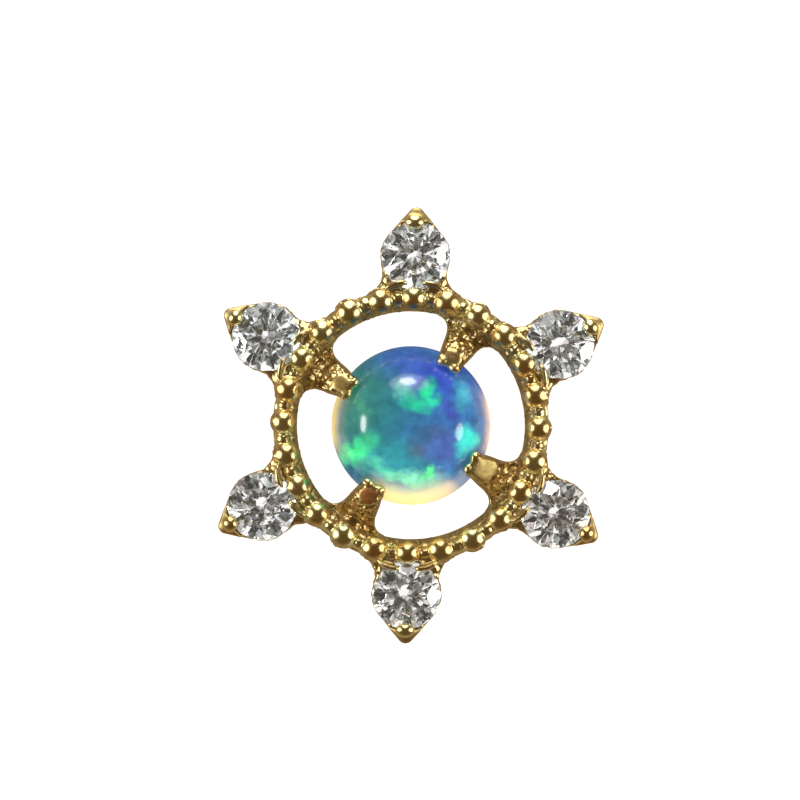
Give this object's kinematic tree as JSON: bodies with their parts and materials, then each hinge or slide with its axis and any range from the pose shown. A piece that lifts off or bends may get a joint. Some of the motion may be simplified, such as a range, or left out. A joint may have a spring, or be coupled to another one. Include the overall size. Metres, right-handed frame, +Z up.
{
  "type": "cartilage stud",
  "caption": "Flat-back cartilage stud: a six-pointed gold star with a beaded ring, a round opal held by claws, and a clear stone in each point.",
  "frame": {"origin": "middle of the stud's box, on the surface that it lies on", "axes": "+Z up from the surface, -Y the way the star's face looks, leaning back by about 17 degrees, +X across the star from point to point"},
  "size_m": [0.0082, 0.0084, 0.007],
  "materials": {
    "gold": "polished yellow gold with a lightly worn cast surface",
    "opal": "polished opal with green, blue and violet play of colour and a warm translucent rim",
    "clear_stone": "polished facets, colourless",
    "post_gold": "turned and polished yellow gold"
  },
  "bodies": {
    "root": {"star_frame": "gold", "opal": "opal", "stone_1": "clear_stone", "stone_2": "clear_stone", "stone_3": "clear_stone", "stone_4": "clear_stone", "stone_5": "clear_stone", "stone_6": "clear_stone", "labret_post": "post_gold"}
  },
  "joints": []
}
